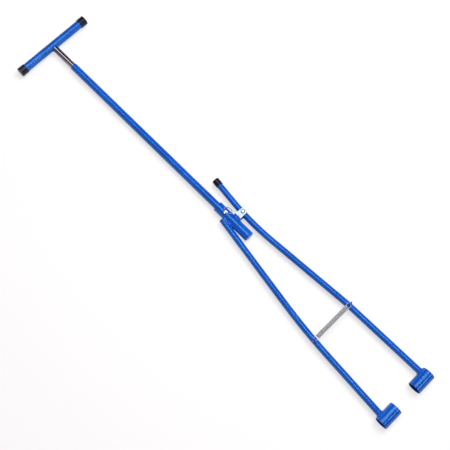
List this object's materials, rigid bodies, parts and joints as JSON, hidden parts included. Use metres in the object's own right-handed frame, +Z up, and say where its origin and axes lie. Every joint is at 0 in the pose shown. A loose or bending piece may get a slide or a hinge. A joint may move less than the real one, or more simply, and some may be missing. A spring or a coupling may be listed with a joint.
{
  "type": "aircraft tow bar",
  "caption": "Hand tow bar for a light aircraft's nosewheel: T handle on a telescoping tube, pinned to a sprung fork with a hinged arm and axle sockets.",
  "frame": {"origin": "bottom centre of the object's box, on the surface that the sockets rest on", "axes": "+X along the bar from the T handle to the sockets, +Y across towards the hinged arm, +Z up"},
  "size_m": [1.44, 0.25, 0.044],
  "materials": {
    "blue_paint": "gloss blue paint on steel",
    "chrome_tube": "bright chrome plate",
    "zinc": "bright zinc plate",
    "bright_steel": "polished steel",
    "spring_steel": "plated spring wire",
    "black_rubber": "moulded black vinyl, slightly glossy",
    "nylon": "natural nylon"
  },
  "bodies": {
    "frame": {"main_tube": "blue_paint", "main_tube_guide_bush": "nylon", "receiver_tube": "blue_paint", "receiver_end_cap": "blue_paint", "fixed_leg": "blue_paint", "fixed_leg_end_plate": "blue_paint", "fixed_leg_weld": "blue_paint", "fixed_socket": "blue_paint", "fixed_socket_weld": "blue_paint", "fixed_spring_lug": "blue_paint", "pivot_bracket": "zinc", "pivot_bracket_weld": "blue_paint", "pivot_bolt": "bright_steel", "pivot_nut": "zinc", "pivot_washers": "nylon", "return_spring": "spring_steel"},
    "arm": {"arm_tube": "blue_paint", "arm_pivot_bush": "nylon", "arm_lever_cap": "black_rubber", "arm_socket": "blue_paint", "arm_socket_weld": "blue_paint", "arm_spring_lug": "blue_paint"},
    "lock_slider": {"twist_lock_expander": "nylon"},
    "handle": {"handle_crossbar": "blue_paint", "handle_cap_left": "black_rubber", "handle_cap_right": "black_rubber", "handle_weld": "blue_paint", "inner_tube": "chrome_tube", "twist_lock_screw": "zinc", "twist_lock_clip": "zinc"},
    "pin": {"lock_pin": "bright_steel", "lock_pin_balls": "bright_steel"},
    "ring": {"lock_pin_ring": "bright_steel"}
  },
  "joints": [
    {"name": "fork_pivot", "type": "hinge", "parent": "frame", "child": "arm", "pos_m": [0.05203, 0.0365, 0.019], "axis": [0, 0, 1], "range_deg": [0, 12.5], "stiffness_Nm_per_rad": 90, "springref_deg": -3.44, "deforming": ["return_spring"]},
    {"name": "handle_slide", "type": "slide", "parent": "frame", "child": "lock_slider", "axis": [-1, 0, 0], "range_m": [-0.075, 0.35]},
    {"name": "handle_twist", "type": "hinge", "parent": "lock_slider", "child": "handle", "pos_m": [-0.70598, 0, 0.019], "axis": [1, 0, 0], "range_deg": [0, 90]},
    {"name": "lock_pin_pull", "type": "slide", "parent": "frame", "child": "pin", "axis": [0, 0, 1], "range_m": [0, 0.04]},
    {"name": "ring_swing", "type": "hinge", "parent": "pin", "child": "ring", "pos_m": [0.02202, 0, 0.0404], "axis": [1, 0, 0], "range_deg": [0, 205]}
  ]
}
